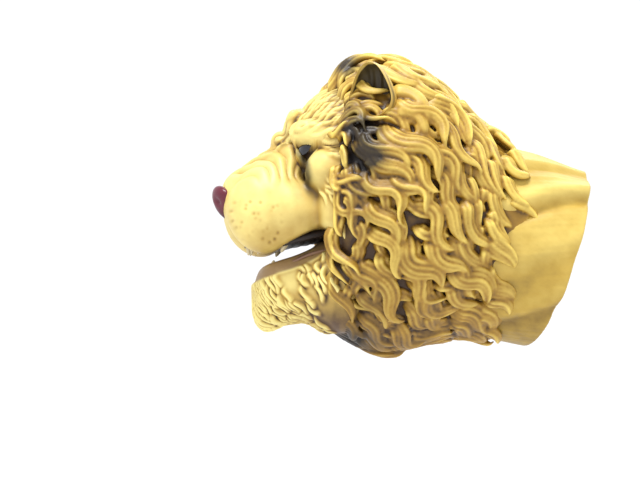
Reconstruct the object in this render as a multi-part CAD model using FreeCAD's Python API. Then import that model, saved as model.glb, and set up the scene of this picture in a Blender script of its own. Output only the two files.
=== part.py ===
"""Lion-head hand puppet of soft moulded vinyl, in millimetres.

Frame: the origin is the centre of the wrist opening, where the hand goes in. +Z is up, the lion
faces -Y, and X = 0 is the plane of symmetry, so the lion's left side is +X.

The puppet is a thin hollow skin. Its neck tube runs from the wrist opening to the back of the
face, the mane is a ring of thick locks round that tube, and the snout and the jaw are two
hollow pockets in front of it: fingers work the snout, and the thumb works the jaw. Both turn
about one line through the corners of the mouth, where the mouth lining is folded.
"""

import FreeCAD
import Part
import math
import os

Vec = FreeCAD.Vector

# ---- driving dimensions ------------------------------------------------------------------
WALL = 3.0  # skin thickness
FIT = 0.4  # clearance between pieces that move past each other
RIM_TILT = 16.8  # lean of the wrist opening's plane, degrees
MANE_FRONT = -104.0  # where the mane meets the face
MANE_BACK = -26.5  # where the locks end on the sleeve, at the height of the origin
MANE_LEAN = 14.6  # lean of that edge, degrees: the locks reach farther back on top
SKULL_BACK = -48.0  # seam between the skull and the sleeve
HINGE_Y = -104.0  # line through the corners of the mouth
HINGE_Z = 8.0
FOLD_R = 3.4  # rolled fold at the back of the mouth
SNOUT_LIFT = 4.0  # degrees the fingers raise the snout
SLACK = 1.5  # degrees left between the face and the raised snout
CREASE_R = 14.0  # the crease stops this far short of the hinge
SNOUT_EDGE = 124.3  # angle of the snout's crease about the hinge, from +Y towards +Z
LIP_ANGLE = 199.5  # angle of the lower lip's front about the hinge
JAW_BACK = 276.0  # angle of the jaw's rear edge, which slides inside the skull
JAW_GATE = 24.6  # half width of the way between the cheeks that the jaw swings in
TONGUE_LEAN = 14.0  # slope of the tongue, degrees
EYE_R = 6.5
EYE_AT = (20.0, -119.5, 48.0)
EAR_AT = (40.0, -95.0, 75.5)
EAR_RADII = (11.5, 12.0, 13.0)
EAR_WALL = 3.0

# Stations along Y: (y, top, bottom, half width, squareness of the upper and the lower half,
# and, on the head, how far the top draws in).
NECK = [
    (-104.0, 86.0, -34.0, 43.0, 2.1, 2.3),
    (-90.0, 91.0, -38.0, 47.0, 2.1, 2.3),
    (-75.0, 88.0, -38.0, 49.0, 2.1, 2.2),
    (-60.0, 79.0, -36.0, 47.0, 2.1, 2.2),
    (-45.0, 66.0, -36.0, 44.0, 2.1, 2.1),
    (-30.0, 58.0, -39.0, 43.0, 2.1, 2.1),
    (-10.0, 53.0, -42.5, 44.0, 2.1, 2.1),
    (10.0, 46.0, -45.5, 45.5, 2.1, 2.1),
    (28.0, 40.0, -47.5, 46.5, 2.1, 2.1),
]
CHEEKS = [
    (-118.0, 34.0, -22.0, 27.5, 2.2, 2.4),
    (-112.0, 60.0, -28.5, 34.0, 2.1, 2.3),
    (-102.5, 86.0, -33.5, 42.9, 2.1, 2.3),
]
MANE = [
    (-106.0, 90.0, -36.5, 49.0, 2.1, 2.2),
    (-96.0, 98.5, -42.0, 55.0, 2.1, 2.2),
    (-82.0, 101.5, -48.0, 60.5, 2.1, 2.2),
    (-66.0, 96.0, -44.5, 61.0, 2.1, 2.2),
    (-50.0, 83.5, -39.8, 57.5, 2.1, 2.2),
    (-32.0, 69.5, -41.0, 52.0, 2.1, 2.2),
    (-16.0, 61.0, -43.5, 48.5, 2.1, 2.2),
    (-4.0, 57.5, -46.0, 47.5, 2.1, 2.2),
]
UPPER_HEAD = [
    (-163.0, 33.0, 16.0, 11.0, 2.2, 2.4, 0.0),
    (-159.5, 37.0, 9.0, 18.5, 2.2, 2.6, 0.1),
    (-152.0, 43.0, 4.2, 25.0, 2.3, 3.2, 0.3),
    (-142.0, 50.0, 4.4, 28.0, 2.3, 3.6, 0.45),
    (-132.0, 59.0, 7.6, 29.0, 2.3, 4.0, 0.5),
    (-124.0, 70.0, 11.0, 31.0, 2.2, 4.0, 0.5),
    (-114.0, 80.0, 12.8, 37.0, 2.1, 4.0, 0.4),
    (-102.0, 88.0, 12.5, 43.0, 2.1, 4.0, 0.2),
]
JAW = [
    (-145.0, -14.0, -31.0, 10.0, 2.4, 2.4),
    (-142.0, -6.4, -33.5, 15.0, 2.8, 2.4),
    (-134.0, -4.0, -31.8, 19.0, 3.6, 2.4),
    (-124.0, -0.6, -30.0, 22.0, 4.0, 2.4),
    (-115.0, 4.0, -29.0, 23.4, 4.0, 2.4),
    (-106.0, 7.0, -28.2, 23.4, 4.0, 2.4),
    (-97.0, 8.0, -27.0, 22.5, 4.0, 2.4),
]


# ---- shared shapes -----------------------------------------------------------------------
def power(value, exponent):
    """value to a power, keeping its sign."""
    return math.copysign(abs(value) ** exponent, value)


def section(y, top, bottom, half_width, n_up, n_down, pinch=0.0, points=28):
    """Closed curve across Y: a superellipse whose upper and lower halves differ in squareness.

    The pinch draws the upper half in, in proportion to its height above the middle.
    """
    middle = (top + bottom) / 2
    half = (top - bottom) / 2
    ring = []
    for k in range(points):
        angle = 2 * math.pi * k / points
        n = n_up if math.cos(angle) > 0 else n_down
        height = power(math.cos(angle), 2 / n)
        x = half_width * power(math.sin(angle), 2 / n) * (1 - pinch * max(height, 0.0))
        ring.append(Vec(x, y, middle + half * height))
    curve = Part.BSplineCurve()
    curve.interpolate(Points=ring, PeriodicFlag=True)
    return Part.Wire([curve.toShape()])


def loft(stations):
    """Closed solid through the sections at a list of stations."""
    return Part.makeLoft([section(*s) for s in stations], True, False)


def inset(stations, wall, front=0.0, back=0.0):
    """The stations drawn in by a wall, and moved along Y at the two ends."""
    inner = [(y, t - wall, b + wall, w - wall, *shape) for y, t, b, w, *shape in stations]
    first = inner[0]
    last = inner[-1]
    inner[0] = (first[0] + front, *first[1:])
    inner[-1] = (last[0] + back, *last[1:])
    return inner


def slab(y_low, y_high, reach=150.0):
    """Everything between two planes across Y."""
    return Part.makeBox(2 * reach, y_high - y_low, 2 * reach, Vec(-reach, y_low, -reach))


def beyond(angle, turn, reach=200.0):
    """Half space on one side of a plane through the hinge line.

    The plane points at angle, from +Y towards +Z. A turn of +1 keeps what lies at a larger angle.
    """
    box = Part.makeBox(2 * reach, 2 * reach, reach, Vec(-reach, -reach, 0 if turn > 0 else -reach))
    box.rotate(Vec(0, 0, 0), Vec(1, 0, 0), angle)
    box.translate(Vec(0, HINGE_Y, HINGE_Z))
    return box


def ellipsoid(centre, radii):
    """Solid ellipsoid with its axes along X, Y and Z."""
    matrix = FreeCAD.Matrix()
    matrix.scale(*radii)
    ball = Part.makeSphere(1.0).transformGeometry(matrix)
    ball.translate(Vec(*centre))
    return ball


def mirrored(shape):
    """The same piece on the lion's right side."""
    return shape.mirror(Vec(0, 0, 0), Vec(1, 0, 0))


def save(name, shape):
    """Writes one node, and says how many solids and how much skin it holds."""
    solids = shape.Solids
    whole = solids[0] if len(solids) == 1 else Part.makeCompound(solids)
    if not whole.isValid() or not solids:
        raise ValueError(name + " is not a valid solid")
    whole.exportStep(os.path.join("parts", name + ".step"))
    print(f"{name}: {len(solids)} solid, {whole.Volume / 1000:.1f} cm3")


# ---- hollow bodies that the skins are cut from -------------------------------------------
neck_outer = loft(NECK)
neck_inner = loft(inset(NECK, WALL, front=-1.0, back=1.0))
head_outer = loft(UPPER_HEAD)
head_inner = loft(inset(UPPER_HEAD, WALL, front=WALL, back=1.0))
jaw_outer = loft(JAW)
jaw_inner = loft(inset(JAW, WALL, front=WALL, back=1.0))
head_skin = head_outer.cut(head_inner)
jaw_shell = jaw_outer.cut(jaw_inner)


def about_hinge(radius, length):
    """Cylinder on the hinge line."""
    return Part.makeCylinder(radius, length, Vec(-length / 2, HINGE_Y, HINGE_Z), Vec(1, 0, 0))


# ---- neck sleeve and skull: one tube, seamed under the mane ------------------------------
def in_front_of(y_at_origin, lean):
    """Half space in front of a leaning plane, which crosses Z = 0 at a given Y."""
    reach = 200.0
    box = Part.makeBox(2 * reach, reach, 2 * reach, Vec(-reach, -reach, -reach))
    box.rotate(Vec(0, 0, 0), Vec(1, 0, 0), -lean)
    box.translate(Vec(0, y_at_origin, 0))
    return box


def make_cheeks():
    """Cheek skins beside the jaw: they narrow forward from the skull's front edge."""
    shell = loft(CHEEKS).cut(loft(inset(CHEEKS, WALL, front=-1.0, back=1.0)))
    below_snout = Part.makeBox(200, 40, 100, Vec(-100, -130, 11.6 - 100))
    gate = Part.makeBox(2 * JAW_GATE, 60, 120, Vec(-JAW_GATE, -140, -80))
    return shell.common(below_snout).common(slab(-130.0, MANE_FRONT)).cut(gate)


def make_neck():
    """The sleeve behind the seam, and the skull with the cheeks in front of it."""
    tube = neck_outer.cut(neck_inner).common(in_front_of(0.0, RIM_TILT))
    sleeve = tube.common(slab(SKULL_BACK, 60.0))
    skull = tube.common(slab(MANE_FRONT, SKULL_BACK))
    return sleeve, skull.fuse(make_cheeks())


# ---- ears: open cups that face forward and outward ---------------------------------------
def make_ear():
    """Left ear: a cupped shell cut open by a leaning plane, and the lump of its root."""
    outer = ellipsoid(EAR_AT, EAR_RADII)
    inner = ellipsoid(EAR_AT, tuple(r - EAR_WALL for r in EAR_RADII))
    mouth = Part.makeBox(80, 40, 80, Vec(-40, -40, -40))
    mouth.rotate(Vec(0, 0, 0), Vec(0, 0, 1), 35)
    mouth.translate(Vec(*EAR_AT) + Vec(1.5, -3.0, 0))
    return outer.cut(inner).cut(mouth), outer


# ---- mane: a ring of locks in four mouldings ---------------------------------------------
def wedge(angle_from, angle_to, reach=200.0):
    """Pie slice along Y, between two angles from +Z towards +X, about the middle of the neck."""
    points = [Vec(0, -150, 25)]
    steps = 8
    for k in range(steps + 1):
        a = math.radians(angle_from + (angle_to - angle_from) * k / steps)
        points.append(Vec(reach * math.sin(a), -150, 25 + reach * math.cos(a)))
    points.append(points[0])
    return Part.Face(Part.makePolygon(points)).extrude(Vec(0, 300, 0))


def make_mane(ear_solid):
    """Crown, left, right and throat quarters of the ring."""
    ring = loft(MANE).cut(neck_outer).common(slab(MANE_FRONT, 0.0))
    ring = ring.common(in_front_of(MANE_BACK, MANE_LEAN))
    ring = ring.cut(head_outer).cut(ear_solid).cut(mirrored(ear_solid))
    crown_half = 38.0
    throat_half = 45.0
    crown = ring.common(wedge(-crown_half, crown_half))
    left = ring.common(wedge(crown_half, 180 - throat_half))
    throat = ring.common(wedge(180 - throat_half, 180 + throat_half))
    return crown, left, mirrored(left), throat


# ---- face and snout ----------------------------------------------------------------------
def palate_cutter():
    """Plan outline of the mouth roof, raised to a block that only meets the snout's floor."""
    half_back = 20.0
    half_front = 13.0
    y_front = -143.0
    y_back = -100.0
    nose_arc = Part.Arc(
        Vec(half_front, y_front, 0), Vec(0, y_front - half_front * 0.6, 0), Vec(-half_front, y_front, 0)
    ).toShape()
    sides = Part.makePolygon(
        [
            Vec(-half_front, y_front, 0),
            Vec(-half_back, y_back, 0),
            Vec(half_back, y_back, 0),
            Vec(half_front, y_front, 0),
        ]
    )
    outline = Part.Wire([nose_arc] + sides.Edges)
    block = Part.Face(outline).extrude(Vec(0, 0, 30.0))
    block.translate(Vec(0, 0, -14.0))
    return block


def make_snout(eye_hole):
    """Face behind the crease, snout in front of it, and the mouth roof under the snout."""
    fold_space = about_hinge(FOLD_R + FIT, 120.0)
    face = head_skin.common(beyond(SNOUT_EDGE - SNOUT_LIFT - SLACK, -1))
    face = face.common(slab(-170.0, MANE_FRONT)).cut(about_hinge(CREASE_R, 120.0))
    face = face.cut(eye_hole).cut(mirrored(eye_hole))
    front = head_skin.common(beyond(SNOUT_EDGE, 1)).cut(fold_space)
    cutter = palate_cutter()
    return face, front.cut(cutter), front.common(cutter)


def make_nose():
    """Nose pad: a rounded wedge, broad at the top, seated on the front of the snout."""
    top = 35.5
    bottom = 19.0
    half_top = 11.0
    half_bottom = 3.0
    outline = Part.makePolygon(
        [
            Vec(-half_top, -150, top),
            Vec(half_top, -150, top),
            Vec(half_top, -150, top - 6),
            Vec(half_bottom, -150, bottom),
            Vec(-half_bottom, -150, bottom),
            Vec(-half_top, -150, top - 6),
            Vec(-half_top, -150, top),
        ]
    )
    pad = Part.Face(outline).extrude(Vec(0, -20, 0))
    dome = ellipsoid((0, -152.0, 27.0), (14.0, 13.0, 12.5))
    return pad.common(dome).cut(head_outer)


# ---- jaw ---------------------------------------------------------------------------------
def make_jaw():
    """Chin skin, and the mouth floor let into its top."""
    shell = jaw_shell.common(beyond(LIP_ANGLE, 1)).common(beyond(JAW_BACK, -1))
    shell = shell.cut(about_hinge(FOLD_R + FIT, 120.0))
    half_back = 20.0
    half_front = 11.0
    plan = Part.makePolygon(
        [
            Vec(-half_front, -137.0, 0),
            Vec(-half_back, -100.0, 0),
            Vec(half_back, -100.0, 0),
            Vec(half_front, -137.0, 0),
            Vec(-half_front, -137.0, 0),
        ]
    )
    cutter = Part.Face(plan).extrude(Vec(0, 0, 40.0))
    cutter.translate(Vec(0, 0, -14.0))
    return shell.cut(cutter), shell.common(cutter)


def make_tongue():
    """Tongue: a long low pad on the mouth floor."""
    pad = ellipsoid((0, 0, 0), (11.0, 15.0, 4.0))
    pad.rotate(Vec(0, 0, 0), Vec(1, 0, 0), TONGUE_LEAN)
    pad.translate(Vec(0, -123.0, -1.6))
    return pad.cut(jaw_outer)


# ---- teeth -------------------------------------------------------------------------------
def cone(root, tip, root_r, tip_r):
    """Round tapered tooth from its root to its tip."""
    start = Vec(*root)
    along = Vec(*tip) - start
    return Part.makeCone(root_r, tip_r, along.Length, start, along)


def make_teeth(roof):
    """Left upper canine, left lower canine, and the two rows of incisors.

    The upper incisors hang from the roof of the mouth, which is handed in.
    """
    upper = cone((15.0, -131.0, 14.0), (14.0, -132.5, 2.0), 3.2, 1.0).cut(head_outer)
    lower = cone((11.0, -137.0, -12.0), (11.2, -137.8, -1.2), 2.6, 0.8).cut(jaw_outer)
    top_row = []
    bottom_row = []
    for k in range(6):
        across = (k - 2.5) * 3.3
        y = -148.0 + 0.06 * across * across
        pieces = cone((across, y, 7.2), (across, y + 0.4, 1.2), 1.5, 1.0).cut(roof).Solids
        top_row.append(min(pieces, key=lambda piece: piece.CenterOfMass.z))
    for k in range(4):
        across = (k - 1.5) * 3.1
        y = -140.0 + 0.06 * across * across
        bottom_row.append(cone((across, y, -9.0), (across, y - 0.6, -3.6), 1.4, 0.9).cut(jaw_outer))
    return upper, lower, Part.makeCompound(top_row), Part.makeCompound(bottom_row)


# ---- build and write ---------------------------------------------------------------------
os.makedirs("parts", exist_ok=True)

sleeve, skull = make_neck()
save("neck_sleeve", sleeve)
save("skull_skin", skull)

ear, ear_solid = make_ear()
ear = ear.cut(neck_outer).cut(head_outer)
save("left_ear", ear)
save("right_ear", mirrored(ear))

crown, left_mane, right_mane, throat = make_mane(ear_solid)
save("crown_mane", crown)
save("left_mane", left_mane)
save("right_mane", right_mane)
save("throat_mane", throat)

eye_ball = Part.makeSphere(EYE_R, Vec(*EYE_AT))
eye = eye_ball.cut(head_inner)
save("left_eye", eye)
save("right_eye", mirrored(eye))

face, snout, mouth_roof = make_snout(eye_ball)
save("face_skin", face)
save("snout_skin", snout)
save("mouth_roof", mouth_roof)
save("nose_pad", make_nose())

fold_pieces = about_hinge(FOLD_R, 120.0).cut(skull).Solids
save("mouth_fold", min(fold_pieces, key=lambda piece: abs(piece.CenterOfMass.x)))

jaw_skin, mouth_floor = make_jaw()
save("jaw_skin", jaw_skin)
save("mouth_floor", mouth_floor)
save("tongue", make_tongue())

upper_canine, lower_canine, upper_row, lower_row = make_teeth(mouth_roof)
save("upper_left_canine", upper_canine)
save("upper_right_canine", mirrored(upper_canine))
save("upper_incisors", upper_row)
save("lower_left_canine", lower_canine)
save("lower_right_canine", mirrored(lower_canine))
save("lower_incisors", lower_row)
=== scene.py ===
import math
import bmesh
import bpy
import numpy as np
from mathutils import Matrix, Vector


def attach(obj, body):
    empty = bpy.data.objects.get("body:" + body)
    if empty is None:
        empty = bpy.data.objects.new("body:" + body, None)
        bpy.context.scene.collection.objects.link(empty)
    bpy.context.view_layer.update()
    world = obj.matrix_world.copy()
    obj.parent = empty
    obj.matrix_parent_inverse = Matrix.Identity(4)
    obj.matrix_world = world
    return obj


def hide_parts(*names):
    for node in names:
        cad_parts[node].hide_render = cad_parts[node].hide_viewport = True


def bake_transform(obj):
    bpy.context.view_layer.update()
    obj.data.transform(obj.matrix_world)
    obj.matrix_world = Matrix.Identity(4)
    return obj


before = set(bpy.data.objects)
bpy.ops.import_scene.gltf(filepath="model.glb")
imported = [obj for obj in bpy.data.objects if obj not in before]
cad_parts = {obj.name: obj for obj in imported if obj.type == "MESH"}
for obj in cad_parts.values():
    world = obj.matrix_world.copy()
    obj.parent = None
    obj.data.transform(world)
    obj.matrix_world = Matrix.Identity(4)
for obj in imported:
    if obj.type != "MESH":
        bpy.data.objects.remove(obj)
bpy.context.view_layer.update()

# ---- neck sleeve and hand pocket ----------------------------------------------------------
# A tube of soft vinyl, rotation moulded in one with the head and cut off across the wrist. The
# hand goes in through its rim, and the tube sags into long folds that fan out to the rim. All
# lengths are in millimetres until a mesh is written.
MM = 0.001
# Blotches of wash lie some 7 mm apart, and cloudier patches of tone some 26 mm apart.
BLOTCHES_PER_M = 150.0
CLOUDS_PER_M = 38.0


def spline(at, stations, values):
    """Natural cubic curve through the values at the stations, read at the places given."""
    x = np.asarray(stations, float)
    y = np.asarray(values, float)
    gap = np.diff(x)
    slope = np.diff(y) / gap
    count = len(x)
    system = np.eye(count)
    inner = np.arange(1, count - 1)
    system[inner, inner - 1] = gap[:-1]
    system[inner, inner] = 2 * (gap[:-1] + gap[1:])
    system[inner, inner + 1] = gap[1:]
    load = np.zeros(count)
    load[1:-1] = 6 * np.diff(slope)
    bend = np.linalg.solve(system, load)
    at = np.clip(at, x[0], x[-1])
    k = np.clip(np.searchsorted(x, at, side="right") - 1, 0, count - 2)
    t = at - x[k]
    first = slope[k] - gap[k] * (2 * bend[k] + bend[k + 1]) / 6
    third = (bend[k + 1] - bend[k]) / (6 * gap[k])
    return y[k] + t * first + t * t * bend[k] / 2 + t**3 * third


def smooth(low, high, value):
    """0 below low, 1 above high, and an even S between them."""
    t = np.clip((value - low) / (high - low), 0, 1)
    return t * t * (3 - 2 * t)


def tube_shells(rings):
    """Vertices and faces of closed tubes. rings is (tubes, rings, points round, 3).

    Each ring closes on itself, and the first and last rings close to a point at their middle.
    """
    tubes, rows, round_, _ = rings.shape
    ends = np.stack([rings[:, 0].mean(1), rings[:, -1].mean(1)], 1)
    verts = np.concatenate([rings.reshape(tubes, rows * round_, 3), ends], 1)
    r, c = np.meshgrid(np.arange(rows - 1), np.arange(round_), indexing="ij")
    after = (c + 1) % round_
    here = r * round_
    below = here + round_
    quads = np.stack([here + c, here + after, below + after, below + c], -1).reshape(-1, 4)
    c = np.arange(round_)
    after = (c + 1) % round_
    top = rows * round_
    fans = np.concatenate(
        [
            np.stack([np.full(round_, top), after, c], -1),
            np.stack([np.full(round_, top + 1), top - round_ + c, top - round_ + after], -1),
        ]
    )
    shift = (np.arange(tubes) * (top + 2))[:, None, None]
    faces = (quads[None] + shift).reshape(-1, 4).tolist()
    faces += (fans[None] + shift).reshape(-1, 3).tolist()
    return verts.reshape(-1, 3), faces


def together(*shells):
    """Several (vertices, faces) pairs as one."""
    verts = []
    faces = []
    count = 0
    for points, polygons in shells:
        verts.append(points)
        faces += [[i + count for i in polygon] for polygon in polygons]
        count += len(points)
    return np.concatenate(verts), faces


def piece(name, shell):
    """A smooth-shaded object from vertices in millimetres and faces turned to point outwards."""
    points, polygons = shell
    mesh = bpy.data.meshes.new(name)
    mesh.from_pydata((points * MM).tolist(), [], polygons)
    skin = bmesh.new()
    skin.from_mesh(mesh)
    bmesh.ops.recalc_face_normals(skin, faces=skin.faces)
    skin.to_mesh(mesh)
    skin.free()
    mesh.shade_smooth()
    thing = bpy.data.objects.new(name, mesh)
    bpy.context.scene.collection.objects.link(thing)
    return thing


def read_points(thing):
    """Vertex places in millimetres and vertex normals, as arrays."""
    mesh = thing.data
    places = np.zeros(len(mesh.vertices) * 3, np.float32)
    normals = np.zeros(len(mesh.vertices) * 3, np.float32)
    mesh.vertices.foreach_get("co", places)
    mesh.vertex_normals.foreach_get("vector", normals)
    return places.reshape(-1, 3).astype(float) / MM, normals.reshape(-1, 3).astype(float)


def write_points(thing, points):
    """Puts vertex places, in millimetres, back into the mesh."""
    thing.data.vertices.foreach_set("co", (points * MM).astype(np.float32).ravel())
    thing.data.update()


def eased(thing, field, rounds, share=0.5):
    """A value or vector at each vertex, averaged with its neighbours' again and again."""
    ends = np.zeros(len(thing.data.edges) * 2, np.int32)
    thing.data.edges.foreach_get("vertices", ends)
    a, b = ends.reshape(-1, 2).T
    count = len(thing.data.vertices)
    near = np.bincount(a, minlength=count) + np.bincount(b, minlength=count)
    field = np.asarray(field, float)
    columns = field.reshape(count, -1).copy()
    for _ in range(rounds):
        for k in range(columns.shape[1]):
            total = np.bincount(a, columns[b, k], count) + np.bincount(b, columns[a, k], count)
            columns[:, k] += share * (total / near - columns[:, k])
    return columns.reshape(field.shape)


def keep_value(thing, name, field):
    """Stores one number per vertex for a material to read."""
    layer = thing.data.attributes.new(name, "FLOAT", "POINT")
    layer.data.foreach_set("value", np.asarray(field, np.float32))


def node(tree, kind, inputs=(), **settings):
    """Adds a node: its properties, then each input's value, or the other node's socket it takes."""
    new = tree.nodes.new(kind)
    for key, value in settings.items():
        setattr(new, key, value)
    for key, value in dict(inputs).items():
        if isinstance(value, bpy.types.NodeSocket):
            tree.links.new(value, new.inputs[key])
        else:
            new.inputs[key].default_value = value
    return new


def linear(code):
    """Linear RGBA from an sRGB hex colour."""
    value = np.array([int(code[k : k + 2], 16) / 255 for k in (0, 2, 4)])
    value = np.where(value <= 0.04045, value / 12.92, ((value + 0.055) / 1.055) ** 2.4)
    return (*value.tolist(), 1.0)


def painted_vinyl(name, groove, body, crest_highlight, dark_paint_and_shade="2A1D14", roughness=0.46, grain_mm=0.5):
    """Soft moulded PVC coloured from two stored values. The first gives painted shade with a brown
    wash in the grooves and a pale straw-yellow painted highlight on the crests; the second marks dark spray
    paint and painted shade."""
    material = bpy.data.materials.new(name)
    material.use_nodes = True
    tree = material.node_tree
    tree.nodes.clear()
    place = node(tree, "ShaderNodeTexCoord").outputs["Object"]
    shade_and_wash = node(tree, "ShaderNodeAttribute", attribute_name="shade_and_wash").outputs["Fac"]
    darkening = node(tree, "ShaderNodeAttribute", attribute_name="dark_paint_and_shade").outputs["Fac"]
    noise = "ShaderNodeTexNoise"
    blotch = node(tree, noise, {"Vector": place, "Scale": BLOTCHES_PER_M, "Detail": 4.0}).outputs["Fac"]
    cloud = node(tree, noise, {"Vector": place, "Scale": CLOUDS_PER_M, "Detail": 2.0}).outputs["Fac"]
    uneven = node(tree, "ShaderNodeMath", {0: blotch, 1: 0.34, 2: -0.17}, operation="MULTIPLY_ADD").outputs[0]
    # Painted shade and highlight: this value is low in grooves and shaded places and high on crests, and it
    # picks the groove, body or crest colour below.
    mottled_shading = node(tree, "ShaderNodeMath", {0: uneven, 1: shade_and_wash}, operation="ADD").outputs[0]
    ramp = node(tree, "ShaderNodeValToRGB", {"Fac": mottled_shading})
    stops = ramp.color_ramp.elements
    stops[0].position, stops[0].color = 0.08, linear(groove)
    stops[1].position, stops[1].color = 0.92, linear(crest_highlight)
    middle = stops.new(0.46)
    middle.color = linear(body)
    shade = node(
        tree,
        "ShaderNodeMapRange",
        {"Value": cloud, "From Min": 0.3, "From Max": 0.7, "To Min": 0.9, "To Max": 1.06},
    ).outputs["Result"]
    tone = node(tree, "ShaderNodeHueSaturation", {"Color": ramp.outputs["Color"], "Value": shade})
    edge = node(tree, "ShaderNodeMath", {0: blotch, 1: 0.5, 2: -0.25}, operation="MULTIPLY_ADD").outputs[0]
    # The dark mix is sprayed dark paint in some places and painted shade under overhangs and in grooves in
    # others.
    ragged = node(tree, "ShaderNodeMath", {0: darkening, 1: edge}, operation="ADD").outputs[0]
    cover = node(
        tree, "ShaderNodeMapRange", {"Value": ragged, "From Min": 0.12, "From Max": 0.85, "To Max": 0.93}
    )
    paint = node(
        tree,
        "ShaderNodeMix",
        {"Factor": cover.outputs["Result"], 6: tone.outputs["Color"], 7: linear(dark_paint_and_shade)},
        data_type="RGBA",
    )
    grain = node(tree, noise, {"Vector": place, "Scale": 0.6 / (grain_mm * MM), "Detail": 3.0}).outputs["Fac"]
    bump = node(tree, "ShaderNodeBump", {"Height": grain, "Strength": 0.22, "Distance": 0.12 * MM})
    gloss = node(
        tree, "ShaderNodeMapRange", {"Value": blotch, "To Min": roughness - 0.06, "To Max": roughness + 0.1}
    )
    skin = node(
        tree,
        "ShaderNodeBsdfPrincipled",
        {
            "Base Color": paint.outputs[2],
            "Roughness": gloss.outputs["Result"],
            "Normal": bump.outputs["Normal"],
            "IOR": 1.53,
            "Specular IOR Level": 0.42,
        },
    )
    node(tree, "ShaderNodeOutputMaterial", {"Surface": skin.outputs["BSDF"]})
    return material


SLEEVE_Y = (-104, -90, -75, -60, -45, -30, -10, 10, 28)
SLEEVE_TOP = (82, 87, 84, 76, 64, 57, 52.5, 45.5, 40)
SLEEVE_BOTTOM = (-31, -34, -35, -34.5, -35, -38, -42, -45, -47)
SLEEVE_HALF = (40, 44, 46, 45, 43, 42.6, 43.6, 45, 46)
SKIN = 2.2
RIM_LEAN = math.tan(math.radians(16.8))


def sleeve_ring(y, turn, inset=0.0):
    """Near-elliptical section: x = half width times sin, z = middle plus half height times cos."""
    top = spline(y, SLEEVE_Y, SLEEVE_TOP) - inset
    bottom = spline(y, SLEEVE_Y, SLEEVE_BOTTOM) + inset
    half = spline(y, SLEEVE_Y, SLEEVE_HALF) - inset
    across = np.sign(np.sin(turn)) * np.abs(np.sin(turn)) ** 0.95
    up = np.sign(np.cos(turn)) * np.abs(np.cos(turn)) ** 0.95
    return np.stack([half * across, y + 0 * turn, (top + bottom) / 2 + (top - bottom) / 2 * up], -1)


def sleeve_creases(y, turn):
    """Height of the sags and mould streaks: long valleys that fan out to the rim, and fine
    lengthwise ripples 2 to 4 mm apart."""
    deg = np.degrees(np.abs(turn))
    height = np.zeros_like(y + turn)
    for centre, drift, width, depth in (
        (76, -0.66, 4.6, -2.5),
        (67, -0.62, 6.0, 2.1),
        (141, -0.92, 6.0, -1.6),
        (130, -0.86, 7.0, 1.1),
        (112, -0.80, 6.0, -1.0),
        (99, -0.75, 6.0, 0.8),
        (46, -0.45, 5.0, -1.3),
        (38, -0.40, 5.0, 0.8),
    ):
        line = centre + drift * (y + 20)
        height = height + depth * np.exp(-(((deg - line) / width) ** 2)) * smooth(-56, -20, y)
    slant = deg + 0.3 * y
    streak = np.sin(slant * 1.7 + 1.1 * np.sin(y * 0.07)) * np.sin(slant * 0.47 + y * 0.05)
    fine = np.sin(slant * 3.1 + 1.6 * np.sin(y * 0.11)) * np.sin(slant * 1.3 - y * 0.08)
    return height + 0.10 * streak + 0.06 * fine


SLEEVE_FRONT = -104
SLEEVE_ROUND = 360
SLEEVE_ROWS = 122
RIM_ROWS = 5
CAP_ROWS = 9
turn = np.linspace(-math.pi, math.pi, SLEEVE_ROUND, endpoint=False)[None, :]
along = np.linspace(0, 1, SLEEVE_ROWS)[:, None]
rim_y = np.zeros_like(turn)
for _ in range(6):  # the rim lies on a slanted plane, found by stepping to it
    rim_y = RIM_LEAN * sleeve_ring(rim_y, turn)[..., 2]
reach_y = SLEEVE_FRONT + along * (rim_y - SLEEVE_FRONT)
outer = sleeve_ring(reach_y, turn)
outward = outer - np.stack([0 * reach_y, reach_y, 0 * reach_y + 9.0], -1)
outward /= np.linalg.norm(outward, axis=-1, keepdims=True)
crease = sleeve_creases(reach_y, turn)
outer = outer + outward * crease[..., None]
inner = (outer - outward * SKIN)[::-1]
middle = (outer[-1] + inner[0]) / 2
arm = (outer[-1] - inner[0]) / 2
lip = []
for k in range(1, RIM_ROWS + 1):
    a = math.pi * k / (RIM_ROWS + 1)
    lip.append(middle + arm * math.cos(a) + np.array([0, math.sin(a) * SKIN * 0.42, 0]))
hub = np.array([0.0, 0.0, 22.0])
front_cap = []
back_cap = []
for k in range(1, CAP_ROWS + 1):
    a = math.pi / 2 * k / (CAP_ROWS + 1)
    shrink = np.array([math.cos(a), 1.0, math.cos(a)])
    bulge = np.array([0.0, 7.0 * math.sin(a), 0.0])
    front_cap.append((outer[0] - hub) * shrink + hub + bulge)
    back_cap.append((inner[-1] - hub) * shrink + hub + bulge + np.array([0, 1.5, 0]))
rings = np.concatenate([np.array(front_cap[::-1]), outer, np.array(lip), inner, np.array(back_cap)])
sleeve = piece("neck_sleeve_skin", tube_shells(rings[None]))
points, _ = read_points(sleeve)
# Painted shade: each ring's value follows the depth of the sags outside. It is high on the rolled rim and low
# inside the tube.
level = np.concatenate(
    [
        np.full(CAP_ROWS * SLEEVE_ROUND, 0.3),
        crease.ravel(),
        np.full(RIM_ROWS * SLEEVE_ROUND, 0.9),
        crease[::-1].ravel() - 1.2,
        np.full(CAP_ROWS * SLEEVE_ROUND + 2, -1.5),
    ]
)
# Painted shade: darker towards the bottom of the sleeve, and in the dark mix towards its lower front.
shade_below = smooth(20, -52, points[:, 2])
keep_value(sleeve, "shade_and_wash", np.clip(0.66 + 0.10 * level - 0.42 * shade_below, 0, 1))
keep_value(sleeve, "dark_paint_and_shade", 0.12 * smooth(-5, -45, points[:, 2]) * smooth(10, -40, points[:, 1]))
# Straw-yellow PVC, smooth and satin, with painted shade in the sags, inside the tube and low down.
sleeve.data.materials.append(painted_vinyl("sleeve_soft_pvc", "6E531E", "C09E40", "E8CE70"))
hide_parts("neck_sleeve", "skull_skin")
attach(sleeve, "head")
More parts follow.
